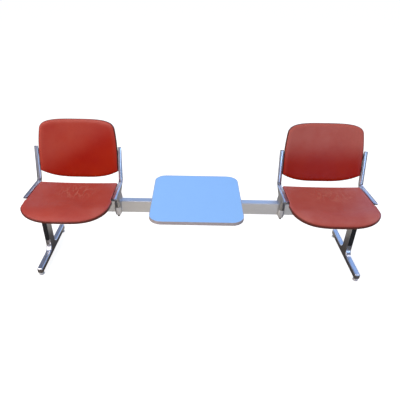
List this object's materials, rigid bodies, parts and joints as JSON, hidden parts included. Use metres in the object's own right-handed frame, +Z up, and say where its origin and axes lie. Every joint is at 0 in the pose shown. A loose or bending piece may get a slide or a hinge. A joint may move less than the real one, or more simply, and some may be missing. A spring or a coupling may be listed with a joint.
{
  "type": "beam bench with side table",
  "caption": "Beam seating for waiting rooms: upholstered low-backed seats on L-shaped cast side frames, clamped to a beam, with a square table between them and an inverted T leg at each end.",
  "frame": {"origin": "on the floor, under the middle of the whole bench's bounding box", "axes": "+X along the beam, to the right of a person who faces the seats; -Y to the front; +Z up"},
  "size_m": [1.897, 0.5436, 0.7707],
  "materials": {
    "cast_aluminium": "polished die casting",
    "extruded_aluminium": "satin anodised",
    "fastener_steel": "zinc plated, dulled",
    "bush_brass": "turned",
    "seat_leather": "orange-red, fine grain, semi-gloss",
    "cover_leather": "orange-red, taut, semi-gloss",
    "shell_plywood": "moulded beech plywood, bare",
    "black_plastic": "fine texture",
    "ribbed_insert": "ribbed lengthways",
    "glide_plastic": "light grey",
    "table_board": "particle board",
    "table_laminate": "pale grey-blue, satin",
    "table_edging": "warm grey, satin"
  },
  "bodies": {
    "bench": {"beam": "extruded_aluminium", "beam_plug_left": "black_plastic", "beam_plug_right": "black_plastic", "leg_left": "cast_aluminium", "leg_right": "cast_aluminium", "leg_strap_left": "cast_aluminium", "leg_strap_right": "cast_aluminium", "strap_bolts": "fastener_steel", "leg_insert_front_left": "ribbed_insert", "leg_insert_front_right": "ribbed_insert", "leg_insert_rear_left": "ribbed_insert", "leg_insert_rear_right": "ribbed_insert", "glide_bushes": "bush_brass", "side_frame_left_outer": "cast_aluminium", "side_frame_left_inner": "cast_aluminium", "side_frame_right_inner": "cast_aluminium", "side_frame_right_outer": "cast_aluminium", "clamp_jaw_left_outer": "cast_aluminium", "clamp_jaw_left_inner": "cast_aluminium", "clamp_jaw_right_inner": "cast_aluminium", "clamp_jaw_right_outer": "cast_aluminium", "clamp_bolts": "fastener_steel", "seat_shell_left": "shell_plywood", "seat_shell_right": "shell_plywood", "seat_pad_left": "seat_leather", "seat_pad_right": "seat_leather", "seat_cover_left": "black_plastic", "seat_cover_right": "black_plastic", "seat_screws": "fastener_steel", "back_shell_left": "shell_plywood", "back_shell_right": "shell_plywood", "back_pad_left": "seat_leather", "back_pad_right": "seat_leather", "back_cover_left": "cover_leather", "back_cover_right": "cover_leather", "back_screws": "fastener_steel", "table_core": "table_board", "table_laminate": "table_laminate", "table_edge": "table_edging", "table_bracket_left": "cast_aluminium", "table_bracket_right": "cast_aluminium", "table_jaw_left": "cast_aluminium", "table_jaw_right": "cast_aluminium", "table_bolts": "fastener_steel", "table_screws": "fastener_steel"},
    "levelling_glide_front_left": {"glide_front_left": "glide_plastic", "glide_stem_front_left": "fastener_steel"},
    "levelling_glide_front_right": {"glide_front_right": "glide_plastic", "glide_stem_front_right": "fastener_steel"},
    "levelling_glide_rear_left": {"glide_rear_left": "glide_plastic", "glide_stem_rear_left": "fastener_steel"},
    "levelling_glide_rear_right": {"glide_rear_right": "glide_plastic", "glide_stem_rear_right": "fastener_steel"}
  },
  "joints": [
    {"name": "level_front_left", "type": "slide", "parent": "bench", "child": "levelling_glide_front_left", "axis": [0, 0, -1], "range_m": [0, 0.012]},
    {"name": "level_front_right", "type": "slide", "parent": "bench", "child": "levelling_glide_front_right", "axis": [0, 0, -1], "range_m": [0, 0.012]},
    {"name": "level_rear_left", "type": "slide", "parent": "bench", "child": "levelling_glide_rear_left", "axis": [0, 0, -1], "range_m": [0, 0.012]},
    {"name": "level_rear_right", "type": "slide", "parent": "bench", "child": "levelling_glide_rear_right", "axis": [0, 0, -1], "range_m": [0, 0.012]}
  ]
}
